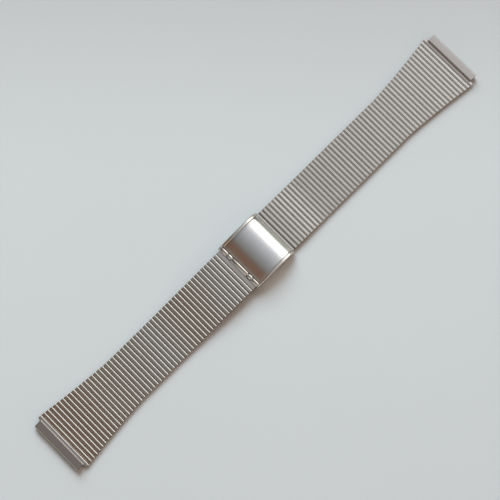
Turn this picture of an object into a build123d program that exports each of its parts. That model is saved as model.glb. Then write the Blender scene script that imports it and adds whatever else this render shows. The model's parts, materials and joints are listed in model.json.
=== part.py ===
from build123d import *
from math import acos, asin, cos, degrees, pi, radians, sin, sqrt
import os

# Ribbed steel watch band, laid out flat with its sliding fold-over clasp closed.
# Two strands of rolled sheet slats hook into each other along the band, so it bends slat by slat.
# X runs along the band, Y across it, Z up from the table; the origin is at half the length.
# Lengths are millimetres and angles are degrees.

os.makedirs("parts", exist_ok=True)

# Slats of the two strands
pitch = 1.343
sheet = 0.18
hook_radius = 0.48
hook_gap = 0.07
crown_radius = 4.5
crown_tilt = 0
hook_tip_angle = 190
corner_cut = 0.15
tongue_back = 0.13
tongue_reach = 0.10
slats_left = 52
slats_right = 54
slats_tail = 10
groups_per_strand = 9

# Outline of the band seen from above
waist_width = 15.3
flare_width = 20.3
taper_length = 25.5
taper_power = 1.35

# Lug tubes at the watch ends
tube_radius = 1.1
tube_wall = 0.25
tube_length = 18.0
tube_reach = 2.15
tube_flat = 0.75
tube_step = 0.36

# Heights: the strands drop from the clasp to the table
left_drop_length = 30.0
right_drop_length = 14.0

# Sheets and clearances inside the clasp, from the table up
lock_sheet = 0.30
strand_clearance = 0.06
slider_sheet = 0.25
leaf_clearance = 0.06
leaf_sheet = 0.28
leaf_knuckle_radius = 0.50
roof_clearance = 0.10
floor_sheet = 0.25
plate_sheet = 0.35

# Widths inside the clasp, from the strand outwards
rail_clearance = 0.05
rail_sheet = 0.20
wall_clearance = 0.05
wall_sheet = 0.40
rim_width = 0.95
rim_depth = 0.60
rim_proud = 0.18
rim_cut = 0.32
plate_gap = 0.05

# Cover, measured along the band from the top of its arch
arch_radius = 19.0
plate_left = 6.30
plate_right = 6.40
lip_radius = 1.80
lip_end_tilt = 75
lip_skirt = 0.12
lip_corner = 0.90
wall_lap = 0.95
wall_corner = 0.60

# Hinges of the clasp: places along the band and sizes
cover_pin_place = -7.18
cover_pin_radius = 0.50
barrel_radius = 0.85
barrel_drop = 0.15
leaf_pin_place = 5.60
leaf_pin_radius = 0.30
fold_pin_place = -4.90
fold_pin_radius = 0.25
lock_pin_place = -5.20
lock_pin_radius = 0.25
lock_knuckle_radius = 0.45
turning_fit = 0.05
seat_fit = 0.02

# Knuckles on the cover pin, from the middle outwards
middle_knuckle_half = 3.30
short_knuckle_width = 1.65
knuckle_gap = 0.10
dimple_radius = 0.25
dimple_depth = 0.18
fold_middle_half = 2.90

# Links and plates along the band
link_length = 2.72
link_sheet = 0.25
slider_front = 7.60
slider_tail = 0.60
front_reach = 2.57
lock_front = 7.20
lock_notch_radius = 1.50

# One overrun serves every cut
overrun = 1.0


def polar(radius, tilt, about=(0, 0)):
    """Point at a tilt from upright towards the clasp."""
    return (about[0] + radius * sin(radians(tilt)), about[1] + radius * cos(radians(tilt)))


# Section of a slat, with its clasp-side pivot at the origin
hook_inner = hook_radius - sheet
web_top = -(hook_radius + hook_gap)
web_low = web_top - sheet
slat_depth = -web_low
wall_face = hook_radius + hook_gap
turn_outer = (sheet / 2 - web_low) / 2
turn_inner = turn_outer - sheet
turn_height = sheet / 2 - turn_outer
crown_centre = polar(hook_radius - crown_radius, crown_tilt)
crown_height = crown_centre[1] + crown_radius

# Heights worked out from the stack of sheets
tail_height = lock_sheet + strand_clearance + slat_depth
slider_low = tail_height + crown_height + strand_clearance
slider_top = slider_low + slider_sheet
leaf_low = slider_top + leaf_clearance
leaf_top = leaf_low + leaf_sheet
fold_pin_height = leaf_low + leaf_sheet / 2
fold_knuckle_radius = fold_pin_height - slider_low
leaf_pin_height = leaf_low + leaf_knuckle_radius
roof_radius = arch_radius - plate_sheet - floor_sheet
roof_room = roof_radius - leaf_knuckle_radius - roof_clearance
arch_height = leaf_pin_height - sqrt(roof_room**2 - leaf_pin_place**2)
plate_end_height = arch_height + sqrt(arch_radius**2 - plate_left**2)
cover_pin_height = plate_end_height - barrel_drop - barrel_radius
wall_low = slider_top - wall_lap
lock_pin_height = lock_knuckle_radius

# Widths worked out from the strand
strand_half = waist_width / 2
slider_inner = strand_half + rail_clearance
slider_half = slider_inner + rail_sheet
cover_inner = slider_half + wall_clearance
cover_half = cover_inner + wall_sheet
plate_half = cover_half - rim_width - plate_gap
leaf_half = cover_inner - wall_sheet
lock_half = slider_inner - rail_clearance
short_knuckle_place = middle_knuckle_half + knuckle_gap
outer_knuckle_place = short_knuckle_place + short_knuckle_width + knuckle_gap
outer_knuckle_end = cover_inner - knuckle_gap


def strand_path(start, start_height, count, drop_length, outward):
    """Pivots of a strand, from the clasp to the lug tube, one pitch apart."""
    points = [(start, start_height)]
    for index in range(1, count + 1):
        share = min(index * pitch / drop_length, 1)
        height = slat_depth + (start_height - slat_depth) * (1 + cos(pi * share)) / 2
        last_place, last_height = points[-1]
        step = sqrt(pitch**2 - (height - last_height) ** 2)
        points.append((last_place + outward * step, height))
    return points


# Paths with the top of the cover's arch at zero, then the shift that centres the whole band
left_start = cover_pin_place - link_length
right_start = slider_front + front_reach
left_path = strand_path(left_start, cover_pin_height, slats_left, left_drop_length, -1)
right_path = strand_path(right_start, tail_height, slats_right, right_drop_length, 1)
tail_path = [(right_start - index * pitch, tail_height) for index in range(slats_tail, -1, -1)]
tube_overhang = tube_reach + tube_radius
clasp_place = -(left_path[-1][0] - tube_overhang + right_path[-1][0] + tube_overhang) / 2


def section_plane(near, far):
    """Plane of a slat's section: origin at the near pivot, local X towards the clasp."""
    run = near[0] - far[0]
    rise = near[1] - far[1]
    length = sqrt(run**2 + rise**2)
    side = 1 if run > 0 else -1
    origin = (near[0] + clasp_place, 0, near[1])
    return Plane(origin=origin, x_dir=(run / length, 0, rise / length), z_dir=(0, -side, 0))


def hook_points():
    """Hook from the end of the crown round its tip and back inside, in even chords."""
    outer = [hook_tip_angle - (hook_tip_angle - crown_tilt) * step / 4 for step in range(4, -1, -1)]
    inner = [hook_tip_angle * step / 2 for step in range(2, -1, -1)]
    return [polar(hook_radius, tilt) for tilt in outer] + [polar(hook_inner, tilt) for tilt in inner]


def tongue_points(pivot, wall):
    """Tongue that passes under the neighbour's hook and turns up into it."""
    turn = (pivot - tongue_back, turn_height)
    return [
        (pivot + wall_face + wall, web_low),
        (turn[0], web_low),
        polar(turn_outer, 240, turn),
        polar(turn_outer, 300, turn),
        (turn[0], sheet / 2),
        (pivot + tongue_reach, sheet / 2),
        (pivot + tongue_reach, -sheet / 2),
        (turn[0], -sheet / 2),
        (turn[0] - turn_inner, turn_height),
        (turn[0], web_top),
        (pivot + wall_face, web_top),
    ]


def half_width(distance):
    """Half of the band's width at a distance from the lug tube's pivot."""
    share = max(1 - distance / taper_length, 0)
    return (waist_width + (flare_width - waist_width) * share**taper_power) / 2


def build_slat(plane, place):
    """One rolled slat; place is its number counted from the lug tube."""
    left_face = wall_face - pitch
    crown_start_tilt = -degrees(asin((crown_centre[0] - left_face - corner_cut) / crown_radius))
    crown_start = polar(crown_radius, crown_start_tilt, crown_centre)
    outer_half = half_width(place * pitch)
    inner_half = half_width((place + 1) * pitch)
    flare = (outer_half - inner_half) / pitch
    with BuildPart() as slat:
        with BuildSketch(plane):
            with BuildLine():
                Polyline(
                    crown_start,
                    polar(crown_radius, (crown_start_tilt + crown_tilt) / 2, crown_centre),
                    *hook_points(),
                    (left_face + sheet, hook_inner),
                    *tongue_points(-pitch, sheet),
                    (left_face, crown_start[1] - corner_cut),
                    close=True,
                )
            make_face()
        extrude(amount=outer_half + flare * pitch, both=True)
        if flare > 0:
            for side in (-1, 1):
                edge = plane.from_local_coords((0, 0, side * inner_half))
                along = plane.from_local_coords((-pitch, 0, side * outer_half)) - edge
                across = plane.from_local_coords((0, 0, side)) - plane.origin
                outwards = across - along.normalized() * across.dot(along.normalized())
                split(bisect_by=Plane(origin=edge, x_dir=along, z_dir=outwards), keep=Keep.BOTTOM)
    return slat.part


def build_slat_group(path, first, last, total):
    """Slats first to last of a path, as separate solids; total counts on to the lug tube."""
    with BuildPart() as group:
        for index in range(first, last):
            plane = section_plane(path[index], path[index + 1])
            add(build_slat(plane, total - 1 - index))
    return group.part


def save(part, label):
    """Labels one finished piece and writes its file."""
    part.label = label
    export_step(part, f"parts/{label}.step")


def split_counts(total, parts):
    """Shares total slats out over the groups, the larger groups first."""
    return [total // parts + (1 if index < total % parts else 0) for index in range(parts)]


def save_strand(path, name):
    """Writes a strand's groups of slats, numbered from the clasp outwards."""
    total = len(path) - 1
    first = 0
    for number, count in enumerate(split_counts(total, groups_per_strand), 1):
        save(build_slat_group(path, first, first + count, total), f"{name}_slats_{number}")
        first += count


def build_lug_tube(path):
    """Rolled end link: a tube for the spring bar and the hook that holds the last slat."""
    place, height = path[-1]
    side = 1 if path[-2][0] > place else -1
    plane = Plane(origin=(place + clasp_place, 0, height), x_dir=(side, 0, 0), z_dir=(0, -side, 0))
    axis = (-tube_reach, tube_radius - slat_depth)
    top = axis[1] + tube_radius
    flat_end = tube_flat - tube_reach
    step_foot = flat_end + tube_step
    with BuildPart() as tube:
        with BuildSketch(plane):
            with BuildLine():
                Polyline(
                    *hook_points(),
                    (step_foot, hook_inner),
                    (step_foot, hook_radius),
                    close=True,
                )
            make_face()
        extrude(amount=half_width(0), both=True)
        with BuildSketch(plane):
            with BuildLine():
                Polyline(
                    (axis[0], top),
                    (flat_end, top),
                    (step_foot, hook_radius),
                    (step_foot, hook_inner),
                    (step_foot - tube_wall, hook_inner),
                    (flat_end - tube_wall, top - tube_wall),
                    (axis[0], top - tube_wall),
                    close=True,
                )
            make_face()
            with Locations(axis):
                Circle(tube_radius)
        extrude(amount=tube_length / 2, both=True)
        with BuildSketch(plane):
            with Locations(axis):
                Circle(tube_radius - tube_wall)
        extrude(amount=tube_length / 2 + overrun, both=True, mode=Mode.SUBTRACT)
    return tube.part


def clasp_point(place, height):
    """A point of the clasp in the band's frame, as local coordinates of the XZ plane."""
    return (place + clasp_place, height)


def arch_point(offset, tilt):
    """Point of the cover's arch, offset from the plate's outer face."""
    return polar(arch_radius + offset, tilt, clasp_point(0, arch_height))


def lip_point(offset, tilt):
    """Point of the down-turned lip, offset from the plate's outer face."""
    centre = polar(arch_radius - lip_radius, plate_right_tilt, clasp_point(0, arch_height))
    return polar(lip_radius + offset, tilt, centre)


def skirt_point(offset):
    """End of the lip's straight skirt."""
    place, height = lip_point(offset, lip_end_tilt)
    tilt = radians(lip_end_tilt)
    return (place + lip_skirt * cos(tilt), height - lip_skirt * sin(tilt))


plate_left_tilt = -degrees(asin(plate_left / arch_radius))
plate_right_tilt = degrees(asin(plate_right / arch_radius))
lip_middle_tilt = (plate_right_tilt + lip_end_tilt) / 2


def skin_line(outer, inner):
    """Closed outline of a sheet that follows the arch and the lip between two offsets."""
    right = plate_right_tilt
    end = lip_end_tilt
    middle = (plate_left_tilt + right) / 2
    ThreePointArc(arch_point(outer, plate_left_tilt), arch_point(outer, middle), arch_point(outer, right))
    ThreePointArc(lip_point(outer, right), lip_point(outer, lip_middle_tilt), lip_point(outer, end))
    Line(lip_point(outer, end), skirt_point(outer))
    Line(skirt_point(outer), skirt_point(inner))
    Line(skirt_point(inner), lip_point(inner, end))
    ThreePointArc(lip_point(inner, end), lip_point(inner, lip_middle_tilt), lip_point(inner, right))
    ThreePointArc(arch_point(inner, right), arch_point(inner, middle), arch_point(inner, plate_left_tilt))
    Line(arch_point(inner, plate_left_tilt), arch_point(outer, plate_left_tilt))


def build_cover_plate():
    """Brushed top plate with its down-turned lip."""
    low = skirt_point(0)[1]
    tall = arch_height + arch_radius - low + overrun
    with BuildPart() as plate:
        with BuildSketch(Plane.XZ):
            with BuildLine():
                skin_line(0, -plate_sheet)
            make_face()
        extrude(amount=plate_half, both=True)
        with BuildSketch(Plane.YZ.offset(clasp_place - cover_half)):
            with BuildLine():
                Polyline(
                    (-plate_half, low + tall),
                    (-plate_half, low + lip_corner),
                    (-plate_half + lip_corner, low),
                    (plate_half - lip_corner, low),
                    (plate_half, low + lip_corner),
                    (plate_half, low + tall),
                    close=True,
                )
            make_face()
            fillet(vertices().group_by(Axis.Y)[0], radius=lip_corner / 2)
        extrude(amount=2 * cover_half, mode=Mode.INTERSECT)
    return plate.part


def knuckle_ranges(inner, outer):
    """Both stretches across the band between two distances from its centre line."""
    return [(-outer, -inner), (inner, outer)]


def build_rim(side):
    """Rim with broken edges along one long side of the cover plate."""
    with BuildPart() as rim:
        with BuildSketch(Plane.XZ.offset(-side * (cover_half - rim_width / 2))):
            with BuildLine():
                skin_line(rim_proud, -rim_depth)
            make_face()
        extrude(amount=rim_width / 2, both=True)
        top_bends = (arch_radius + rim_proud, lip_radius + rim_proud)
        top_edges = [
            edge
            for edge in rim.edges().filter_by(GeomType.CIRCLE)
            if min(abs(edge.radius - bend) for bend in top_bends) < rim_proud / 2
        ]
        chamfer(top_edges, length=rim_cut)
    return rim.part


def build_cover_frame():
    """Cover frame: side walls with ears, rims, the floor under the plate and two knuckles."""
    pin = clasp_point(cover_pin_place, cover_pin_height)
    leaf_axis = clasp_point(leaf_pin_place, leaf_pin_height)
    end = skirt_point(rim_proud)
    foot_left = pin[0] + barrel_radius + barrel_drop
    web_right = arch_point(-plate_sheet - floor_sheet, plate_left_tilt)[0] + floor_sheet
    web_high = arch_point(-plate_sheet, plate_left_tilt)[1]
    web_height = pin[1] + barrel_radius / 4
    wall_top = rim_proud - rim_cut
    left = plate_left_tilt
    right = plate_right_tilt
    middle = (left + right) / 2
    with BuildPart() as frame:
        for side in (-1, 1):
            with BuildSketch(Plane.XZ.offset(-side * (cover_inner + wall_sheet / 2))):
                with BuildLine():
                    ThreePointArc(
                        arch_point(wall_top, left),
                        arch_point(wall_top, middle),
                        arch_point(wall_top, right),
                    )
                    ThreePointArc(
                        lip_point(wall_top, right),
                        lip_point(wall_top, lip_middle_tilt),
                        lip_point(wall_top, lip_end_tilt),
                    )
                    Polyline(
                        lip_point(wall_top, lip_end_tilt),
                        skirt_point(wall_top),
                        end,
                        (end[0], wall_low + wall_corner),
                        (end[0] - wall_corner, wall_low),
                        (foot_left, wall_low),
                        (pin[0], pin[1] - barrel_radius),
                        (pin[0], pin[1] + barrel_radius),
                        arch_point(wall_top, left),
                    )
                make_face()
                with Locations(pin):
                    Circle(barrel_radius)
            extrude(amount=wall_sheet / 2, both=True)
            add(build_rim(side))
        with BuildSketch(Plane.XZ):
            with BuildLine():
                upper = -plate_sheet
                lower = -plate_sheet - floor_sheet
                ThreePointArc(arch_point(upper, left), arch_point(upper, middle), arch_point(upper, right))
                Line(arch_point(upper, right), arch_point(lower, right))
                ThreePointArc(arch_point(lower, right), arch_point(lower, middle), arch_point(lower, left))
                Line(arch_point(lower, left), arch_point(upper, left))
            make_face()
        extrude(amount=cover_inner, both=True)
        for low, high in knuckle_ranges(short_knuckle_place, short_knuckle_place + short_knuckle_width):
            with BuildSketch(Plane.XZ.offset(-high)):
                with Locations(pin):
                    Circle(barrel_radius)
                with BuildLine():
                    Polyline(
                        (pin[0], web_height),
                        (web_right, web_height),
                        (web_right, web_high),
                        (pin[0] + barrel_radius / 2, web_high),
                        close=True,
                    )
                make_face()
            extrude(amount=high - low)
        with BuildSketch(Plane.XZ):
            with Locations(pin):
                Circle(cover_pin_radius + seat_fit)
            with Locations(leaf_axis):
                Circle(leaf_pin_radius + seat_fit)
        extrude(amount=cover_half, both=True, mode=Mode.SUBTRACT)
        dimple_place = -(short_knuckle_place + short_knuckle_width / 2)
        with BuildSketch(Plane.XY.offset(pin[1] + barrel_radius - dimple_depth)):
            with Locations((pin[0], dimple_place)):
                Circle(dimple_radius)
        extrude(amount=dimple_depth, mode=Mode.SUBTRACT)
    return frame.part


def build_pin(place, height, radius, half_length):
    """Straight hinge pin across the band."""
    with BuildPart() as pin:
        with BuildSketch(Plane.XZ):
            with Locations(clasp_point(place, height)):
                Circle(radius)
        extrude(amount=half_length, both=True)
    return pin.part


def plane_across(plane, distance):
    """A section plane moved across the band."""
    return Plane(origin=plane.from_local_coords((0, 0, distance)), x_dir=plane.x_dir, z_dir=plane.z_dir)


def build_hinge_link():
    """End link of the left strand: tongue, flat strip and three knuckles on the cover pin."""
    near = (cover_pin_place, cover_pin_height)
    plane = section_plane(near, left_path[0])
    plane = Plane(
        origin=plane.from_local_coords((-link_length, 0, 0)), x_dir=plane.x_dir, z_dir=plane.z_dir
    )
    strip_end = link_length - barrel_radius - knuckle_gap
    ring_end = link_length - barrel_radius + link_sheet
    with BuildPart() as link:
        with BuildSketch(plane):
            with BuildLine():
                Polyline(
                    (wall_face, hook_radius - corner_cut),
                    (wall_face + corner_cut, hook_radius),
                    (strip_end, hook_radius),
                    (strip_end, hook_radius - link_sheet),
                    (wall_face + link_sheet, hook_radius - link_sheet),
                    *tongue_points(0, link_sheet),
                    close=True,
                )
            make_face()
        extrude(amount=strand_half, both=True)
        ranges = knuckle_ranges(outer_knuckle_place, outer_knuckle_end)
        for low, high in ranges + [(-middle_knuckle_half, middle_knuckle_half)]:
            strip_low = max(low, -strand_half)
            strip_high = min(high, strand_half)
            with BuildSketch(plane_across(plane, -high)):
                with Locations((link_length, 0)):
                    Circle(barrel_radius)
            extrude(amount=high - low)
            with BuildSketch(plane_across(plane, -strip_high)):
                with BuildLine():
                    Polyline(
                        (wall_face + link_sheet, hook_radius - link_sheet),
                        (ring_end, hook_radius - link_sheet),
                        (ring_end, hook_radius),
                        (wall_face + link_sheet, hook_radius),
                        close=True,
                    )
                make_face()
            extrude(amount=strip_high - strip_low)
        with BuildSketch(plane):
            with Locations((link_length, 0)):
                Circle(cover_pin_radius + turning_fit)
        extrude(amount=cover_half, both=True, mode=Mode.SUBTRACT)
    return link.part


def build_fold_leaf():
    """Leaf under the cover, hinged to it at the right and to the slider at the left."""
    leaf_axis = clasp_point(leaf_pin_place, leaf_pin_height)
    fold_axis = clasp_point(fold_pin_place, fold_pin_height)
    plate_start = fold_axis[0] + fold_knuckle_radius + knuckle_gap
    with BuildPart() as leaf:
        with BuildSketch(Plane.XZ):
            with BuildLine():
                Polyline(
                    (plate_start, leaf_low),
                    (leaf_axis[0], leaf_low),
                    (leaf_axis[0], leaf_top),
                    (plate_start, leaf_top),
                    close=True,
                )
            make_face()
            with Locations(leaf_axis):
                Circle(leaf_knuckle_radius)
        extrude(amount=leaf_half, both=True)
        with BuildSketch(Plane.XZ):
            with BuildLine():
                Polyline(
                    (fold_axis[0], leaf_low),
                    (plate_start, leaf_low),
                    (plate_start, leaf_top),
                    (fold_axis[0], leaf_top),
                    close=True,
                )
            make_face()
            with Locations(fold_axis):
                Circle(fold_knuckle_radius)
        extrude(amount=fold_middle_half, both=True)
        with BuildSketch(Plane.XZ):
            with Locations(leaf_axis):
                Circle(leaf_pin_radius + turning_fit)
            with Locations(fold_axis):
                Circle(fold_pin_radius + turning_fit)
        extrude(amount=cover_half, both=True, mode=Mode.SUBTRACT)
    return leaf.part


def build_slider_body():
    """Slider that carries the strand's tail: top plate, two rails and two knuckles."""
    fold_axis = clasp_point(fold_pin_place, fold_pin_height)
    lock_axis = clasp_point(lock_pin_place, lock_pin_height)
    front = slider_front + clasp_place
    back = lock_axis[0] - slider_tail
    plate_start = fold_axis[0] + fold_knuckle_radius + knuckle_gap
    with BuildPart() as slider:
        with BuildSketch(Plane.XZ):
            with BuildLine():
                Polyline(
                    (plate_start, slider_low),
                    (front, slider_low),
                    (front, slider_top),
                    (plate_start, slider_top),
                    close=True,
                )
            make_face()
        extrude(amount=slider_half, both=True)
        for side in (-1, 1):
            with BuildSketch(Plane.XZ.offset(-side * (slider_inner + rail_sheet / 2))):
                with BuildLine():
                    Polyline(
                        (back, lock_sheet / 2),
                        (front, lock_sheet / 2),
                        (front, slider_top),
                        (back + slider_tail, slider_top),
                        (back, slider_top - slider_tail),
                        close=True,
                    )
                make_face()
            extrude(amount=rail_sheet / 2, both=True)
        for low, high in knuckle_ranges(fold_middle_half + knuckle_gap, slider_inner):
            with BuildSketch(Plane.XZ.offset(-high)):
                with BuildLine():
                    Polyline(
                        (fold_axis[0], slider_low),
                        (plate_start, slider_low),
                        (plate_start, slider_top),
                        (fold_axis[0], slider_top),
                        close=True,
                    )
                make_face()
                with Locations(fold_axis):
                    Circle(fold_knuckle_radius)
            extrude(amount=high - low)
        with BuildSketch(Plane.XZ):
            with Locations(fold_axis):
                Circle(fold_pin_radius + seat_fit)
            with Locations(lock_axis):
                Circle(lock_pin_radius + seat_fit)
        extrude(amount=slider_half + overrun, both=True, mode=Mode.SUBTRACT)
    return slider.part


def build_lock_plate():
    """Lock plate under the strand, hinged at its left end."""
    axis = clasp_point(lock_pin_place, lock_pin_height)
    front = lock_front + clasp_place
    with BuildPart() as lock:
        with BuildSketch(Plane.XZ):
            with BuildLine():
                Polyline(
                    (axis[0], 0),
                    (front, 0),
                    (front, lock_sheet),
                    (axis[0], lock_sheet),
                    close=True,
                )
            make_face()
            with Locations(axis):
                Circle(lock_knuckle_radius)
        extrude(amount=lock_half, both=True)
        with BuildSketch(Plane.XZ):
            with Locations(axis):
                Circle(lock_pin_radius + turning_fit)
        extrude(amount=lock_half + overrun, both=True, mode=Mode.SUBTRACT)
        with BuildSketch(Plane.XY):
            with Locations((front + lock_notch_radius / 2, 0)):
                Circle(lock_notch_radius)
        extrude(amount=lock_sheet, mode=Mode.SUBTRACT)
    return lock.part


# Pieces of the clasp
save(build_cover_frame(), "cover_frame")
save(build_cover_plate(), "cover_plate")
save(build_pin(cover_pin_place, cover_pin_height, cover_pin_radius, cover_half), "cover_pin")
save(build_pin(leaf_pin_place, leaf_pin_height, leaf_pin_radius, cover_half), "leaf_pin")
save(build_fold_leaf(), "fold_leaf")
save(build_pin(fold_pin_place, fold_pin_height, fold_pin_radius, slider_inner), "fold_pin")
save(build_slider_body(), "slider_body")
save(build_pin(lock_pin_place, lock_pin_height, lock_pin_radius, slider_half), "lock_pin")
save(build_lock_plate(), "lock_plate")

# Left strand, from the clasp to its lug tube
save(build_hinge_link(), "hinge_link")
save_strand(left_path, "left")
save(build_lug_tube(left_path), "left_lug_tube")

# Right strand, with the tail that lies inside the slider
save(build_slat_group(tail_path, 0, slats_tail, slats_tail + slats_right), "tail_slats")
save_strand(right_path, "right")
save(build_lug_tube(right_path), "right_lug_tube")
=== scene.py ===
import json
from math import asin, atan2, cos, pi, radians, sin, sqrt, tan

import bmesh
import bpy
from mathutils import Matrix, Vector


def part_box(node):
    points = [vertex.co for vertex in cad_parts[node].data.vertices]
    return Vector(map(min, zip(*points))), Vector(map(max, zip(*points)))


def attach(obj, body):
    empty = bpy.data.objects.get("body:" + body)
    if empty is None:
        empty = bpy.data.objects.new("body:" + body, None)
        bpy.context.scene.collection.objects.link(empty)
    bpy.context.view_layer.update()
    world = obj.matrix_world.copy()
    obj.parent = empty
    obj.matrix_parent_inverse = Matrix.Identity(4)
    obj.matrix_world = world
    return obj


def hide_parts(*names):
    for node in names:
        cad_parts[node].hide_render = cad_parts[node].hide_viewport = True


bl_info = {
    "name": "Ribbed Steel Watch Band",
    "version": (1, 0, 0),
    "blender": (4, 5, 0),
    "location": "View3D > Sidebar > Watch Band",
    "description": "Dresses a ribbed steel watch band with a sliding fold-over clasp",
    "category": "Object",
}

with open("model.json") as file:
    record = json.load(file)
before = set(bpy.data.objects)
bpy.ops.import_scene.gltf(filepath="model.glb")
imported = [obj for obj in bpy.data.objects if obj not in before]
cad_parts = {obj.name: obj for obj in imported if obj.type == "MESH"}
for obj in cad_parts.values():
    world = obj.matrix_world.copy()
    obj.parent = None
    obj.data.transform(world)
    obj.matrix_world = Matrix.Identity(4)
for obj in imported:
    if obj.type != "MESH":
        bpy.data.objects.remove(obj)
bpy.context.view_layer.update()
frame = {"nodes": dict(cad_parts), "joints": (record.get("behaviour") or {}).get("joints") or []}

MM = 0.001
ORIGIN = Vector()
ACROSS = Vector((0, 1, 0))
MIRROR_SIDES = (-1, 1)
STRAND_GROUPS = 9
BLACK = (0, 0, 0)
WHITE = (1, 1, 1)

# How far a rounding's middle point lies inside the corner, as a share of its radius
CORNER_CUT = 0.3
# Points nearer to each other than this are one point
MERGE_ROOM = 0.0005 * MM
# Edges bent by more than this are a sheet's square edges
SQUARE_EDGE = radians(60)
# Edges bent by more than this are shaded as creases
CREASE = radians(32)
SLAT_CREASE = radians(17)


def joint_place(name):
    """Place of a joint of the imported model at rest."""
    for joint in frame["joints"]:
        if joint["name"] == name:
            return Vector(joint["pos_m"])
    raise ValueError(f"the packed model has no joint named {name}")


def length(name, description, millimetres):
    """A length property, given in millimetres."""
    return bpy.props.FloatProperty(
        name=name, description=description, default=millimetres * MM, unit="LENGTH", precision=6
    )


def angle(name, description, degrees):
    """An angle property, given in degrees."""
    return bpy.props.FloatProperty(
        name=name, description=description, default=radians(degrees), subtype="ANGLE"
    )


def colour(name, description, value):
    """A colour property."""
    return bpy.props.FloatVectorProperty(
        name=name, description=description, default=value, size=3, subtype="COLOR", min=0, max=1
    )


def number(name, description, value):
    """A plain number property."""
    return bpy.props.FloatProperty(name=name, description=description, default=value)


def count(name, description, value):
    """A whole number property."""
    return bpy.props.IntProperty(name=name, description=description, default=value)


def location(name, description, millimetres):
    """A place property, given in millimetres."""
    metres = [part * MM for part in millimetres]
    return bpy.props.FloatVectorProperty(
        name=name, description=description, default=metres, subtype="TRANSLATION"
    )


class BandSlats(bpy.types.PropertyGroup):
    """Sizes of the rolled slats and of the strands' outline."""

    pitch: length("Pitch", "Distance from one slat to the next", 1.343)
    sheet: length("Sheet", "Thickness of the slats' sheet", 0.18)
    hook_radius: length("Hook radius", "Outer radius of a slat's hook", 0.48)
    hook_gap: length("Hook gap", "Room between a hook and its neighbour", 0.07)
    hook_tip: angle("Hook tip", "How far the hook turns round", 190)
    crown_radius: length("Crown radius", "Radius of a slat's top face", 24)
    crown_tilt: angle("Crown tilt", "Tilt where the top face runs into the hook", -3)
    corner: length("Corner", "Rounding of a slat's high corner", 0.06)
    tongue_back: length("Tongue back", "Where the tongue turns up, behind the pivot", 0.13)
    tongue_reach: length("Tongue reach", "How far the tongue reaches past the pivot", 0.10)
    # Top of the painted shade in the slats' grooves
    shade_top: length("Shade top", "Height above the pivots where the painted shade in the grooves ends", 0.48 / 2.2)
    waist: length("Waist width", "Width of the strands at the clasp", 15.3)
    flare: length("Flare width", "Width of the strands at the watch", 20.3)
    taper: length("Taper length", "Length over which the strands widen", 25.5)
    taper_power: number("Taper power", "How late the strands widen", 1.35)
    left_drop: length("Left drop", "Length over which the left strand comes down to the table", 30)
    left_near: angle("Left level near", "Tilt of the left strand's top faces by the clasp", 2.5)
    left_far: angle("Left level far", "Tilt of the left strand's top faces towards the tube", -2.5)
    right_drop: length("Right drop", "Length over which the right strand comes down to the table", 14)
    right_near: angle("Right level near", "Tilt of the right strand's top faces by the clasp", -1.8)
    right_far: angle("Right level far", "Tilt of the right strand's top faces towards the tube", 0.9)
    crown_steps: count("Crown steps", "Faces round the crown", 4)
    flank_steps: count("Flank steps", "Faces round the flank", 6)


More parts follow.
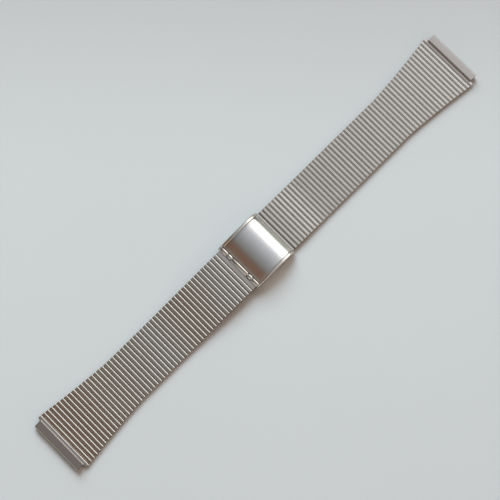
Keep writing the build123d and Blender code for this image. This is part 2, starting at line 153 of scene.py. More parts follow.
class BandClasp(bpy.types.PropertyGroup):
    """Sizes of the clasp's cover, hinge link and lug tubes."""

    arch_radius: length("Arch radius", "Radius of the cover plate's top face", 19)
    plate_left: length("Plate left", "Plate's left end from the top of the arch", 6.30)
    plate_right: length("Plate right", "Start of the lip from the top of the arch", 5.80)
    plate_sheet: length("Plate sheet", "Thickness of the cover plate", 0.35)
    plate_round: length("Plate rounding", "Rounding of the plate's end over the knuckles", 0.10)
    plate_edge: length("Plate edge", "Rounding of the plate's other edges", 0.03)
    lip_radius: length("Lip radius", "Radius of the bend down into the lip", 3.2)
    lip_tilt: angle("Lip tilt", "Tilt of the lip's end", 60)
    lip_skirt: length("Lip skirt", "Straight end of the lip", 0.12)
    lip_corner: length("Lip corner", "Rounding of the lip's two corners", 0.9)
    floor_sheet: length("Floor sheet", "Thickness of the frame under the plate", 0.25)
    ledge: length("Ledge", "Length of the frame's ledge between the plate and the knuckles", 0.30)
    ledge_depth: length("Ledge depth", "Depth of the ledge's underside below the plate's top", 0.1225)
    wall_sheet: length("Wall sheet", "Thickness of the side walls", 0.40)
    wall_corner: length("Wall corner", "Rounding of the walls' lower right corner", 0.60)
    wall_round: length("Wall rounding", "Rounding of the walls' edges", 0.05)
    rim_width: length("Rim width", "Width of the rims", 0.94)
    rim_proud: length("Rim height", "How far the rims stand above the plate", 0.18)
    rim_depth: length("Rim depth", "Depth of the rims below the plate's top", 0.30)
    rim_round: length("Rim rounding", "Rounding of the rims' edges", 0.26)
    barrel_radius: length("Barrel radius", "Radius of the hinge knuckles", 0.90)
    barrel_bore: length("Barrel bore", "Radius of the knuckles' bore", 0.55)
    middle_knuckle: length("Middle knuckle", "Half width of the middle knuckle", 3.30)
    short_knuckle: length("Short knuckle", "Width of the cover's short knuckles", 1.65)
    knuckle_gap: length("Knuckle gap", "Gap between knuckles", 0.10)
    knuckle_round: length("Knuckle rounding", "Rounding of the knuckles' ends", 0.05)
    knuckle_trim: length("Knuckle trim", "How much the rounded knuckles draw back at each end", 0.10)
    ear_radius: length("Ear radius", "Radius of the rounded ears round the cover pin", 0.96)
    ear_round: length("Ear rounding", "Rounding of the ears' outer rims", 0.24)
    # Sizes of the dark disc of painted shade that lies over the near short knuckle's dimple
    dimple: length("Dimple", "Radius of the dimple in the near short knuckle", 0.25)
    dimple_rim: length("Dimple rim", "Width of the dimple's rim", 0.1125)
    dimple_depth: length("Dimple depth", "Thickness of the dimple's disc", 0.06)
    dimple_proud: length("Dimple height", "How far the dimple stands above the knuckle", 0.006)
    link_sheet: length("Link sheet", "Thickness of the hinge link", 0.25)
    link_length: length("Link length", "Hinge link's pivot to the cover pin", 2.72)
    link_lap: length("Link lap", "How far the knuckles' webs reach into the hinge link's strip", 0.1)
    tube_radius: length("Tube radius", "Outer radius of the lug tubes", 1.1)
    tube_wall: length("Tube wall", "Wall of the lug tubes", 0.25)
    tube_length: length("Tube length", "Length of the lug tubes", 18)
    tube_reach: length("Tube reach", "Lug tube's axis from its pivot", 2.15)
    tube_shelf: length("Tube shelf", "Where the tube's flat top steps down, from the pivot", 0.70)
    tube_groove: length("Tube groove", "Width of the groove between the step and the last rib", 0.10)
    tube_curl: length("Tube curl", "Radius of the bend down at the tube's outer side", 0.42)
    tube_tilt: angle("Tube tilt", "How far the tube's flat top slopes down outwards", 1.3)
    tube_seam: angle("Tube seam", "How far below the axis the curled sheet ends", 20)


class BandColours(bpy.types.PropertyGroup):
    """Colours of the band's finishes and of the stage."""

    slat: colour("Slat steel", "Satin steel of the slats", (0.562, 0.544, 0.505))
    # Painted shade, laid into the slats' grooves and over the knuckle's dimple
    painted_shade: colour("Painted shade", "Film in the grooves between the slats", (0.245, 0.243, 0.225))
    plate: colour("Plate steel", "Brushed steel of the cover plate", (0.621, 0.628, 0.622))
    link: colour("Link steel", "Satin steel of the hinge link", (0.60, 0.562, 0.525))
    rim: colour("Rim steel", "Polished steel of the frame", (0.66, 0.65, 0.62))
    tube: colour("Tube steel", "Satin steel of the tubes", (0.44, 0.42, 0.40))
    # Painted highlight: the lighter tone on the tubes' step face
    edge: colour("Step highlight", "Polished step between the tubes and the slats", (0.85, 0.84, 0.81))
    inner: colour("Inner steel", "Plain steel inside the clasp", (0.52, 0.51, 0.49))
    floor: colour("Floor", "Pale table", (0.64, 0.65, 0.66))
    # Painted shade towards the table's far side
    floor_far_shade: colour("Far floor shade", "Painted shade that the table takes on towards its far side", (0.13, 0.04, 0.02))
    window: colour("Window", "Light of the bright side", (0.83, 0.81, 0.78))
    haze: colour("Haze", "Light below the bright side", (0.195, 0.20, 0.178))
    room: colour("Room", "Grey light from above", (0.088, 0.0885, 0.089))
    sky: colour("Sky", "Cooler light from above, next to the bright side", (0.088, 0.0895, 0.0945))
    shade: colour("Shade", "Warm dark side", (0.064, 0.036, 0.024))
    wall: colour("Wall", "Dull light from low on the left", (0.087, 0.093, 0.088))
    near_side: colour("Near side", "Warm light from the near side", (0.18, 0.16, 0.14))
    far_side: colour("Far side", "Dark far side", (0.022, 0.020, 0.018))
    far_glow: colour("Far glow", "Grey light low on the far side", (0.13, 0.13, 0.127))
    fill: colour("Fill", "Share of the room light that fills the shadows", (0.60, 0.50, 0.43))
    lamp: colour("Lamp", "Light of the soft lamp", (0.74, 0.88, 0.945))


class BandStage(bpy.types.PropertyGroup):
    """Sizes, places and strengths of the table, the lights and the camera."""

    table_half: length("Table size", "Half the width of the table", 1500)
    room_strength: number("Room strength", "Strength of the room light", 4)
    lamp_place: location("Lamp place", "Where the soft lamp stands", (850, 1280, 1280))
    lamp_size: length("Lamp size", "Width and height of the soft lamp", 1360)
    lamp_power: number("Lamp power", "Power of the soft lamp in watts", 55)
    camera_place: location("Camera place", "Where the camera stands", (-47.10, -35.88, 386.16))
    target: location("Target", "Point on the table that the camera looks at", (-2.67, 1.67, 0))
    up: bpy.props.FloatVectorProperty(
        name="Up", description="Direction that stands upright in the picture", subtype="DIRECTION",
        default=(0.6971, 0.7014, 0.1484),
    )
    lens: number("Lens", "Focal length in millimetres", 93.6)
    clip_start: length("Clip start", "Nearest place that the camera sees", 10)


# Drawing and shaping


def at(x, z):
    """Point of the side view."""
    return Vector((x, 0, z))


def polar(radius, tilt, about=ORIGIN):
    """Point at a tilt from upright towards +X, in the side view."""
    return about + at(radius * sin(tilt), radius * cos(tilt))


def only_verts(parts):
    """The vertices among an operator's results."""
    return [part for part in parts if isinstance(part, bmesh.types.BMVert)]


def draw_lines(bm, vert, *points):
    """Draws straight stretches of an outline from point to point and returns the last end."""
    for point in points:
        vert = bmesh.ops.extrude_vert_indiv(bm, verts=[vert])["verts"][0]
        vert.co = point
    return vert


def draw_arc(bm, vert, centre, sweep, steps):
    """Draws a round stretch of an outline, positive from upright towards +X, and returns its end."""
    made = bmesh.ops.spin(bm, geom=[vert], cent=centre, axis=ACROSS, angle=sweep, steps=steps)
    return only_verts(made["geom_last"])[0]


def close_outline(bm, first, last):
    """Closes an outline and returns its vertices and its edges in order."""
    bm.edges.new((last, first))
    verts = [first]
    edges = [first.link_edges[0]]
    while True:
        vert = edges[-1].other_vert(verts[-1])
        if vert == first:
            return verts, edges
        verts.append(vert)
        edges.append([edge for edge in vert.link_edges if edge != edges[-1]][0])


def extrude_outline(bm, first, last, low, high):
    """Closes a side-view outline and extrudes it across the band from low to high."""
    verts, edges = close_outline(bm, first, last)
    face = bm.faces.new(verts)
    bmesh.ops.translate(bm, verts=verts, vec=(0, low, 0))
    made = bmesh.ops.extrude_face_region(bm, geom=[face], use_keep_orig=True)
    bmesh.ops.translate(bm, verts=only_verts(made["geom"]), vec=(0, high - low, 0))


def extrude_down(bm):
    """Gives a flat shape a second side and returns its vertices, still in place."""
    made = bmesh.ops.extrude_face_region(bm, geom=bm.faces[:], use_keep_orig=True)
    return only_verts(made["geom"])


def square_edges(bm):
    """The square edges of a sheet."""
    bmesh.ops.recalc_face_normals(bm, faces=bm.faces)
    return [edge for edge in bm.edges if edge.calc_face_angle(0) > SQUARE_EDGE]


def round_off(bm, parts, radius, segments, affect="EDGES"):
    """Rounds edges or corners."""
    bmesh.ops.bevel(
        bm, geom=parts, offset=radius, segments=segments, profile=0.5, material=-1, affect=affect
    )


def join_part(bm, part):
    """Adds another drawn shape to a piece."""
    mesh = bpy.data.meshes.new("Part")
    part.to_mesh(mesh)
    part.free()
    bm.from_mesh(mesh)
    bpy.data.meshes.remove(mesh)


def add_object(bm, name, material):
    """Turns a drawn shape into an object of the scene."""
    mesh = bpy.data.meshes.new(name)
    bm.to_mesh(mesh)
    bm.free()
    mesh.materials.append(material)
    made = bpy.data.objects.new(name, mesh)
    bpy.context.scene.collection.objects.link(made)
    return made


def finish_piece(bm, name, body, material, replaces=(), crease=CREASE):
    """Turns the drawn shape into a finished piece that rides on its body."""
    bmesh.ops.remove_doubles(bm, verts=bm.verts, dist=MERGE_ROOM)
    bmesh.ops.recalc_face_normals(bm, faces=bm.faces)
    for face in bm.faces:
        face.smooth = True
    piece = add_object(bm, name, material)
    piece.data.set_sharp_from_angle(angle=crease)
    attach(piece, body)
    if replaces:
        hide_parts(*replaces)


def add_ring(bm, centre, inner, outer, low, high, rounding):
    """Turns a ring with rounded rims about an axis across the band."""
    near = low - centre.y
    far = high - centre.y
    cut = rounding * CORNER_CUT
    section = (
        (near, outer - rounding),
        (near + cut, outer - cut),
        (near + rounding, outer),
        (far - rounding, outer),
        (far - cut, outer - cut),
        (far, outer - rounding),
        (far, inner),
    )
    first = bm.verts.new(centre + Vector((0, near, inner)))
    last = draw_lines(bm, first, *[centre + Vector((0, place, radius)) for place, radius in section])
    verts, edges = close_outline(bm, first, last)
    bmesh.ops.spin(
        bm, geom=[*verts, *edges], cent=centre, axis=ACROSS, angle=2 * pi, steps=40, use_merge=True
    )


def add_knuckle(bm, clasp, centre, bore, low, high):
    """Turns one hinge knuckle between two places across the band."""
    trim = clasp.knuckle_trim
    add_ring(bm, centre, bore, clasp.barrel_radius, low + trim, high - trim, clasp.knuckle_round)


def rest_height(slats):
    """Height of the pivots where a strand lies on the table."""
    return slats.hook_radius + slats.hook_gap + slats.sheet


def strand_path(slats, start, end, drop, outward):
    """Pivots of a strand from the clasp to its lug tube, one pitch apart."""
    rest = rest_height(slats)
    points = [start]
    while (points[-1] - end).length > slats.pitch / 2:
        share = min(len(points) * slats.pitch / drop, 1)
        height = rest + (start.z - rest) * (1 + cos(pi * share)) / 2
        last = points[-1]
        step = sqrt(slats.pitch**2 - (height - last.z) ** 2)
        points.append(at(last.x + outward * step, height))
    return points


def nearest(path, point):
    """Number of the pivot that lies nearest to a point."""
    return min(range(len(path)), key=lambda index: (path[index] - point).length)


def half_width(slats, distance):
    """Half of a strand's width at a distance from its lug tube's pivot."""
    share = max(1 - distance / slats.taper, 0)
    return (slats.waist + (slats.flare - slats.waist) * share**slats.taper_power) / 2


def draw_hook(bm, vert, slats, flank_steps):
    """Draws a slat's hook about the origin, from the crown round the tip and back inside."""
    vert = draw_arc(bm, vert, ORIGIN, pi / 2 - slats.crown_tilt, flank_steps)
    vert = draw_arc(bm, vert, ORIGIN, slats.hook_tip - pi / 2, steps=3)
    vert = draw_lines(bm, vert, polar(slats.hook_radius - slats.sheet, slats.hook_tip))
    return draw_arc(bm, vert, ORIGIN, -slats.hook_tip, steps=4)


def draw_tongue(bm, vert, slats, pivot, wall):
    """Draws the tongue about a pivot on the X axis, from the wall's foot round to the wall's top."""
    half = slats.sheet / 2
    web_top = -(slats.hook_radius + slats.hook_gap)
    web_low = web_top - slats.sheet
    face = pivot + slats.hook_radius + slats.hook_gap
    turn_x = pivot - slats.tongue_back
    reach = pivot + slats.tongue_reach
    centre = at(turn_x, (web_low + half) / 2)
    vert = draw_lines(bm, vert, at(face + wall, web_low), at(turn_x, web_low))
    vert = draw_arc(bm, vert, centre, pi, steps=4)
    vert = draw_lines(bm, vert, at(reach, half), at(reach, -half), at(turn_x, -half))
    vert = draw_arc(bm, vert, centre, -pi, steps=3)
    return draw_lines(bm, vert, at(face, web_top))


def draw_slat(slats):
    """One slat of half width 1, with its clasp-side pivot at the origin and its hook towards +X."""
    radius = slats.hook_radius
    left = radius + slats.hook_gap - slats.pitch
    crown = polar(radius - slats.crown_radius, slats.crown_tilt)
    start_tilt = asin((left + slats.corner - crown.x) / slats.crown_radius)
    cut = slats.corner * 0.29
    bm = bmesh.new()
    first = bm.verts.new(polar(slats.crown_radius, start_tilt, crown))
    top = first.co.z
    vert = draw_arc(bm, first, crown, slats.crown_tilt - start_tilt, slats.crown_steps)
    vert = draw_hook(bm, vert, slats, slats.flank_steps)
    vert = draw_lines(bm, vert, at(left + slats.sheet, radius - slats.sheet))
    vert = draw_tongue(bm, vert, slats, -slats.pitch, slats.sheet)
    last = draw_lines(bm, vert, at(left, top - slats.corner), at(left + cut, top - cut))
    extrude_outline(bm, first, last, -1, 1)
    bm.verts.index_update()
    return bm


def add_slat(target, template, slats, near, far, place, level):
    """Adds one slat between two pivots; place is its number counted from the lug tube."""
    outer = half_width(slats, place * slats.pitch)
    inner = half_width(slats, (place + 1) * slats.pitch)
    top = slats.hook_radius - slats.sheet / 2
    run = near - far
    side = 1 if run.x > 0 else -1
    turn = Matrix.Rotation(atan2(-run.z * side, run.x * side), 3, "Y")
    verts = [target.verts.new(vert.co) for vert in template.verts]
    for face in template.faces:
        target.faces.new([verts[vert.index] for vert in face.verts])
    for vert in verts:
        share = -vert.co.x / slats.pitch
        if share > 0 and vert.co.z > top:
            vert.co.z -= vert.co.x * tan(level)
        vert.co.y *= inner + (outer - inner) * share
        vert.co.x *= side
        vert.co = turn @ vert.co + near
    return verts


# Materials


def feed(tree, node, inputs):
    """Gives a node its inputs: each is a plain value or another node's output."""
    for name, value in inputs.items():
        if isinstance(value, bpy.types.NodeSocket):
            tree.links.new(value, node.inputs[name])
        else:
            node.inputs[name].default_value = value


def add_node(tree, kind, inputs, **settings):
    """Adds a shader node with its settings and inputs, and returns its outputs."""
    node = tree.nodes.new(f"ShaderNode{kind}")
    for name, value in settings.items():
        setattr(node, name, value)
    feed(tree, node, inputs)
    return node.outputs


def add_math(tree, operation, *values, clamp=False):
    """Adds a Math node and returns its result."""
    return add_node(tree, "Math", dict(enumerate(values)), operation=operation, use_clamp=clamp)[0]


def add_mix(tree, factor, low, high, blend="MIX"):
    """Adds a mix of two colours and returns its result."""
    inputs = {"Factor": factor, "A": low, "B": high}
    return add_node(tree, "Mix", inputs, data_type="RGBA", blend_type=blend)["Result"]


def toned(base, strength=1):
    """A colour made darker or lighter, as a socket takes it."""
    return (*[min(part * strength, 1) for part in base], 1)


def new_material(name):
    """A new material with its node tree and its surface shader."""
    material = bpy.data.materials.new(name)
    material.use_nodes = True
    return material, material.node_tree, material.node_tree.nodes["Principled BSDF"]


def grain_group():
    """Node group with the grain of drawn or brushed sheet: fine streaks and soft blotches."""
    tree = bpy.data.node_groups.get("Sheet grain")
    if tree:
        return tree
    tree = bpy.data.node_groups.new("Sheet grain", "ShaderNodeTree")
    tree.interface.new_socket(name="Vector", in_out="INPUT", socket_type="NodeSocketVector")
    for name in ("Roughness", "Spread"):
        tree.interface.new_socket(name=name, in_out="INPUT", socket_type="NodeSocketFloat")
    for name in ("Shade", "Roughness", "Height"):
        tree.interface.new_socket(name=name, in_out="OUTPUT", socket_type="NodeSocketFloat")
    inputs = tree.nodes.new("NodeGroupInput").outputs
    noise = {"Vector": inputs["Vector"], "Scale": 1, "Detail": 4, "Roughness": 0.65}
    streaks = add_node(tree, "TexNoise", noise)["Fac"]
    noise = {"Vector": inputs["Vector"], "Scale": 0.13, "Detail": 2}
    blotches = add_node(tree, "TexNoise", noise)["Fac"]
    streak_share = 0.6
    soft = add_math(tree, "MULTIPLY", blotches, 1 - streak_share)
    shade = add_math(tree, "MULTIPLY_ADD", streaks, streak_share, soft)
    centred = add_math(tree, "SUBTRACT", shade, 0.5)
    rough = add_math(tree, "MULTIPLY_ADD", centred, inputs["Spread"], inputs["Roughness"], clamp=True)
    outputs = tree.nodes.new("NodeGroupOutput")
    feed(tree, outputs, {"Shade": shade, "Roughness": rough, "Height": streaks})
    return tree


def steel(name, base, roughness, spread, grain, bump, variation=0.12, groove=None):
    """Steel with grain of a size along X, Y and Z in millimetres; groove is the colour that the mesh's
    groove attribute mixes in: painted shade in the slats' grooves, and the tubes' darker tone beside their
    painted highlight on the step.
    """
    material, tree, surface = new_material(name)
    place = add_node(tree, "TexCoord", {})["Object"]
    scale = [1 / (size * MM) for size in grain]
    vector = add_node(tree, "Mapping", {"Vector": place, "Scale": scale})["Vector"]
    inputs = {"Vector": vector, "Roughness": roughness, "Spread": spread}
    sheet = add_node(tree, "Group", inputs, node_tree=grain_group())
    result = add_mix(tree, sheet["Shade"], toned(base, 1 - variation), toned(base, 1 + variation))
    # The groove attribute mixes in the groove colour: painted shade low in the slats, the darker tube tone
    # away from the tubes' step
    if groove:
        depth = add_node(tree, "Attribute", {}, attribute_name="groove")["Fac"]
        result = add_mix(tree, depth, result, toned(groove))
    inputs = {"Strength": bump, "Distance": 0.01 * MM, "Height": sheet["Height"]}
    relief = add_node(tree, "Bump", inputs)["Normal"]
    feed(tree, surface, {
        "Base Color": result, "Metallic": 1, "Roughness": sheet["Roughness"], "Normal": relief,
    })
    return material


# Stage


class WATCHBAND_OT_stage(bpy.types.Operator):
    """Pale table, soft room light and the camera"""

    bl_idname = "watchband.stage"
    bl_label = "Stage"

    def execute(self, context):
        scene = context.scene
        stage = scene.watchband_stage
        colours = scene.watchband_colours
        self.add_table(stage, colours)
        self.light_room(scene, stage, colours)
        self.add_lamp(scene, stage, colours)
        self.add_camera(scene, stage)
        scene.view_settings.view_transform = "Standard"
        return {"FINISHED"}

    def add_table(self, stage, colours):
        """A wide plain table under the band, with painted shade that makes it a little darker towards its
        far right side.
        """
        material, tree, surface = new_material("Pale table")
        place = add_node(tree, "TexCoord", {})["Object"]
        clouds = add_node(tree, "TexNoise", {"Vector": place, "Scale": 9, "Detail": 3})["Fac"]
        pale = add_mix(tree, clouds, toned(colours.floor, 0.97), toned(colours.floor, 1.02))
        # Painted shade: the table darkens towards its far right side
        away = (0.71, 0.71, 0)
        distance = add_node(tree, "VectorMath", {0: place, 1: away}, operation="DOT_PRODUCT")["Value"]
        inputs = {"Value": distance, "From Min": 0.015, "From Max": 0.15, "To Max": 0.40}
        far = add_node(tree, "MapRange", inputs, interpolation_type="SMOOTHSTEP")["Result"]
        tone = add_mix(tree, far, pale, toned(colours.floor_far_shade))
        feed(tree, surface, {"Base Color": tone, "Roughness": 0.75, "Specular IOR Level": 0.25})
        bm = bmesh.new()
        bmesh.ops.create_grid(bm, x_segments=1, y_segments=1, size=stage.table_half)
        table = add_object(bm, "Table", material)

    def light_room(self, scene, stage, colours):
        """Room light as a sky: warm shade on the left, grey above and a wide bright side on the right."""
        world = bpy.data.worlds.new("Room")
        scene.world = world
        world.use_nodes = True
        tree = world.node_tree
        place = add_node(tree, "TexCoord", {})["Generated"]
        split = add_node(tree, "SeparateXYZ", {"Vector": place})
        along = self.add_ramp(tree, split["X"], split["Z"], [
            (-90, colours.wall, 2.2),
            (-52, colours.wall, 1.8),
            (-42, colours.wall, 1.0),
            (-30, colours.shade, 0.95),
            (-15, colours.shade, 0.92),
            (-8, colours.room, 0.85),
            (0, colours.room, 1.05),
            (12, colours.sky, 1.65),
            (22, colours.sky, 2.1),
            (28, colours.sky, 2.8),
            (34, colours.window, 1.0),
            (45, colours.window, 1.0),
            (49, colours.haze, 1.0),
            (90, colours.haze, 0.8),
        ])
        across = self.add_ramp(tree, split["Y"], split["Z"], [
            (-90, colours.near_side, 0.6),
            (-60, colours.near_side, 1.0),
            (0, colours.near_side, 1.0),
            (20, colours.far_side, 1.0),
            (44, colours.far_side, 1.0),
            (60, colours.far_glow, 1.0),
        ])
        middle = self.add_ramp(tree, split["Y"], split["Z"], [
            (-28, BLACK, 1.0),
            (-12, WHITE, 1.0),
            (16, WHITE, 1.0),
            (34, BLACK, 1.0),
        ])
        light = add_mix(tree, middle, across, along)
        diffuse = add_node(tree, "LightPath", {})["Is Diffuse Ray"]
        light = add_mix(tree, diffuse, light, toned(colours.fill), blend="MULTIPLY")
        feed(tree, tree.nodes["Background"], {"Color": light, "Strength": stage.room_strength})

    def add_ramp(self, tree, sideways, upwards, stops):
        """Colours by the tilt from upright; a stop is a tilt in degrees, a colour and its strength."""
        tilt = add_math(tree, "ARCTAN2", sideways, upwards)
        inputs = {"Value": tilt, "From Min": -pi / 2, "From Max": pi / 2}
        share = add_node(tree, "MapRange", inputs)["Result"]
        ramp = tree.nodes.new("ShaderNodeValToRGB")
        elements = ramp.color_ramp.elements
        for index, (degrees, tone, strength) in enumerate(stops):
            position = (degrees + 90) / 180
            element = elements[index] if index < 2 else elements.new(position)
            element.position = position
            element.color = toned(tone, strength)
        feed(tree, ramp, {"Fac": share})
        return ramp.outputs["Color"]

    def add_lamp(self, scene, stage, colours):
        """Soft lamp from the far right side, which gives the band its short shadow."""
        data = bpy.data.lights.new("Soft lamp", "AREA")
        data.shape = "SQUARE"
        data.size = stage.lamp_size
        data.energy = stage.lamp_power
        data.color = colours.lamp
        place = Vector(stage.lamp_place)
        lamp = self.set_up(scene, "Soft lamp", data, place, place.to_track_quat("Z", "Y").to_matrix())
        lamp.visible_glossy = False

    def add_camera(self, scene, stage):
        """Camera at the photograph's viewing angle, for a square picture."""
        data = bpy.data.cameras.new("Camera")
        data.lens = stage.lens
        data.clip_start = stage.clip_start
        place = Vector(stage.camera_place)
        back = (place - Vector(stage.target)).normalized()
        right = Vector(stage.up).cross(back).normalized()
        axes = Matrix((right, back.cross(right), back)).transposed()
        scene.camera = self.set_up(scene, "Camera", data, place, axes)

    def set_up(self, scene, name, data, place, axes):
        """Stands a lamp or camera at its place, turned to its axes."""
        made = bpy.data.objects.new(name, data)
        scene.collection.objects.link(made)
        made.matrix_world = Matrix.Translation(place) @ axes.to_4x4()
        return made


# Strands


class WATCHBAND_OT_slats(bpy.types.Operator):
    """Rolled slats of both strands and of the tail inside the clasp"""

    bl_idname = "watchband.slats"
    bl_label = "Slats"

    def execute(self, context):
        slats = context.scene.watchband_slats
        colours = context.scene.watchband_colours
        # The groove colour is painted shade in the grooves between the slats
        material = steel(
            "Slat steel", colours.slat, roughness=0.20, spread=0.12, grain=(0.06, 0.9, 0.06), bump=0.25,
            groove=colours.painted_shade,
        )
        template = draw_slat(slats)
        for name, drop, outward, level in (
            ("left", slats.left_drop, -1, (slats.left_near, slats.left_far)),
            ("right", slats.right_drop, 1, (slats.right_near, slats.right_far)),
        ):
            pivots = [joint_place(f"{name}_bend_{number}") for number in range(1, STRAND_GROUPS + 1)]
            pivots.append(joint_place(f"{name}_tube_hinge"))
            path = strand_path(slats, pivots[0], pivots[-1], drop, outward)
            total = len(path) - 1
            ends = [nearest(path, pivot) for pivot in pivots]
            for number, (first, last) in enumerate(zip(ends, ends[1:]), start=1):
                node = f"{name}_slats_{number}"
                span = range(first, last)
                self.add_group(template, slats, path, span, total, node, node, material, level)
        start = joint_place("right_bend_1")
        tail = round((start.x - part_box("tail_slats")[0].x) / slats.pitch)
        path = [start - at(index * slats.pitch, 0) for index in range(tail, -1, -1)]
        level = (slats.right_near, slats.right_near)
        self.add_group(
            template, slats, path, range(tail), tail + total, "tail_slats", "tail", material, level
        )
        template.free()
        return {"FINISHED"}

    def add_group(self, template, slats, path, span, total, node, body, material, level):
        """One rigid group of slats as a piece; level is its top faces' tilt at the clasp and at the tube."""
        bm = bmesh.new()
        depth = bm.verts.layers.float.new("groove")
        near, far = level
        for index in span:
            tilt = near + (far - near) / total * index
            verts = add_slat(bm, template, slats, path[index], path[index + 1], total - 1 - index, tilt)
            # Painted shade: each slat darkens from a set height above its pivot down into its grooves
            for vert, original in zip(verts, template.verts):
                vert[depth] = min(max(1 - original.co.z / slats.shade_top, 0), 1)
        name = node.replace("slats", "ribs")
        finish_piece(bm, name, body, material, (node,), SLAT_CREASE)


class WATCHBAND_OT_lug_tubes(bpy.types.Operator):
    """Rolled lug tubes with the hooks that hold the last slats"""

    bl_idname = "watchband.lug_tubes"
    bl_label = "Lug Tubes"

    def execute(self, context):
        slats = context.scene.watchband_slats
        clasp = context.scene.watchband_clasp
        colours = context.scene.watchband_colours
        # The step's face takes the lighter edge colour as a painted highlight; the tube and the hook take
        # the darker tube tone
        material = steel(
            "Tube steel", colours.edge, roughness=0.30, spread=0.14, grain=(0.08, 1.2, 0.08), bump=0.2,
            groove=colours.tube,
        )
        for name, side in (("left", 1), ("right", -1)):
            pivot = joint_place(f"{name}_tube_hinge")
            node = f"{name}_lug_tube"
            bm = bmesh.new()
            self.add_hook(bm, slats, clasp)
            self.add_curl(bm, slats, clasp)
            self.mark_step(bm, clasp)
            for vert in bm.verts:
                vert.co.x *= side
                vert.co += pivot
            finish_piece(bm, f"{name}_tube", node, material, (node,))
        return {"FINISHED"}

    def add_hook(self, bm, slats, clasp):
        """The hook for the last slat, at full width, with the floor of the groove beside the step."""
        shelf = -clasp.tube_shelf
        under = shelf - clasp.tube_wall / 2
        groove = shelf + clasp.tube_groove
        inside = slats.hook_radius - slats.sheet
        deep = slats.hook_radius - slats.sheet * 0.6
        rise = (groove + slats.corner) * tan(-slats.crown_tilt) * 1.3
        first = bm.verts.new(polar(slats.hook_radius, slats.crown_tilt))
        top = first.co.z + rise
        vert = draw_hook(bm, first, slats, slats.flank_steps + 1)
        last = draw_lines(bm, vert, at(under, inside), at(under, deep), at(groove, deep), at(groove, top))
        half = half_width(slats, 0)
        extrude_outline(bm, first, last, -half, half)

    def add_curl(self, bm, slats, clasp):
        """The tube: flat top from the step outwards, tight bend down and round curl about the bore."""
        shelf = -clasp.tube_shelf
        wall = clasp.tube_wall
        radius = clasp.tube_radius
        inner = radius - wall
        inside = slats.hook_radius - slats.sheet
        axis = at(-clasp.tube_reach, radius - rest_height(slats))
        top = axis.z + radius
        slope = tan(clasp.tube_tilt)
        bend = wall / 2
        cut = bend * CORNER_CUT
        flat = bend * 1.5
        curl_x = axis.x - radius + clasp.tube_curl
        curl = at(curl_x, top - (shelf - curl_x) * slope - clasp.tube_curl)
        seam = pi / 2 + clasp.tube_seam
        tube = bmesh.new()
        first = tube.verts.new(at(shelf - bend, top - bend * slope))
        vert = draw_lines(
            tube, first, at(shelf - flat, top - flat * slope),
            curl + at(bend / 2, clasp.tube_curl + bend / 2 * slope), curl + at(0, clasp.tube_curl),
        )
        vert = draw_arc(tube, vert, curl, -pi / 2, steps=12)
        vert = draw_lines(tube, vert, polar(radius, -pi / 2, axis))
        vert = draw_arc(tube, vert, axis, seam - 1.5 * pi, steps=26)
        vert = draw_lines(tube, vert, polar(inner, seam, axis))
        vert = draw_arc(tube, vert, axis, 2 * pi - seam, steps=30)
        last = draw_lines(
            tube, vert, at(shelf - wall, axis.z + inner), at(shelf - wall, inside), at(shelf, inside),
            at(shelf, top - bend), at(shelf - cut, top - cut),
        )
        half = clasp.tube_length / 2
        extrude_outline(tube, first, last, -half, half)
        join_part(bm, tube)

    def mark_step(self, bm, clasp):
        """Marks the step's face for the painted highlight in the lighter tone, and gives the tube and less
        so the hook their satin tone.
        """
        depth = bm.verts.layers.float.new("groove")
        room = 0.01 * MM
        for vert in bm.verts:
            past = vert.co.x + clasp.tube_shelf
            if past > room:
                vert[depth] = 0.7
            elif past < -room:
                vert[depth] = 1


# Clasp


class CoverShape:
    """The cover's arch, lip and skirt, worked out from the clasp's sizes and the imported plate."""

    def __init__(self, clasp):
        plate_low, plate_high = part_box("cover_plate")
        self.radius = clasp.arch_radius
        self.lip_radius = clasp.lip_radius
        self.left_tilt = -asin(clasp.plate_left / self.radius)
        self.right_tilt = asin(clasp.plate_right / self.radius)
        self.end_tilt = clasp.lip_tilt
        self.centre = at(plate_low.x + clasp.plate_left, plate_high.z - self.radius)
        self.lip_centre = polar(self.radius - self.lip_radius, self.right_tilt, self.centre)
        self.left = self.radius * self.left_tilt
        self.right = self.radius * self.right_tilt
        self.lip_end = self.right + self.lip_radius * (self.end_tilt - self.right_tilt)
        self.end = self.lip_end + clasp.lip_skirt

    def point(self, run, offset):
        """Point at a run along the outer face and an offset above it."""
        if run <= self.right:
            return polar(self.radius + offset, run / self.radius, self.centre)
        if run <= self.lip_end:
            tilt = self.right_tilt + (run - self.right) / self.lip_radius
            return polar(self.lip_radius + offset, tilt, self.lip_centre)
        start = polar(self.lip_radius + offset, self.end_tilt, self.lip_centre)
        rest = run - self.lip_end
        return start + at(rest * cos(self.end_tilt), -rest * sin(self.end_tilt))

    def bend(self, bm):
        """Bends a shape that was built flat, with its run along X and its offset along Z."""
        for vert in bm.verts:
            place = self.point(vert.co.x, vert.co.z)
            place.y = vert.co.y
            vert.co = place


def flat_bar(bm, low, high, left, right, bottom, top, steps, rounding=0):
    """A bar along X with rounded long edges, divided into steps so that it can bend."""
    corners = ((low, bottom), (high, bottom), (high, top), (low, top))
    verts = [bm.verts.new((left, place, height)) for place, height in corners]
    bm.faces.new(verts)
    if rounding:
        round_off(bm, verts, rounding, 4, affect="VERTICES")
    face = [part for part in bm.faces if all(abs(vert.co.x - left) < MERGE_ROOM for vert in part.verts)][-1]
    geom = [face, *face.edges, *face.verts]
    step = ((right - left) / steps, 0, 0)
    bmesh.ops.spin(bm, geom=geom, cent=ORIGIN, axis=ACROSS, dvec=step, angle=0, steps=steps)


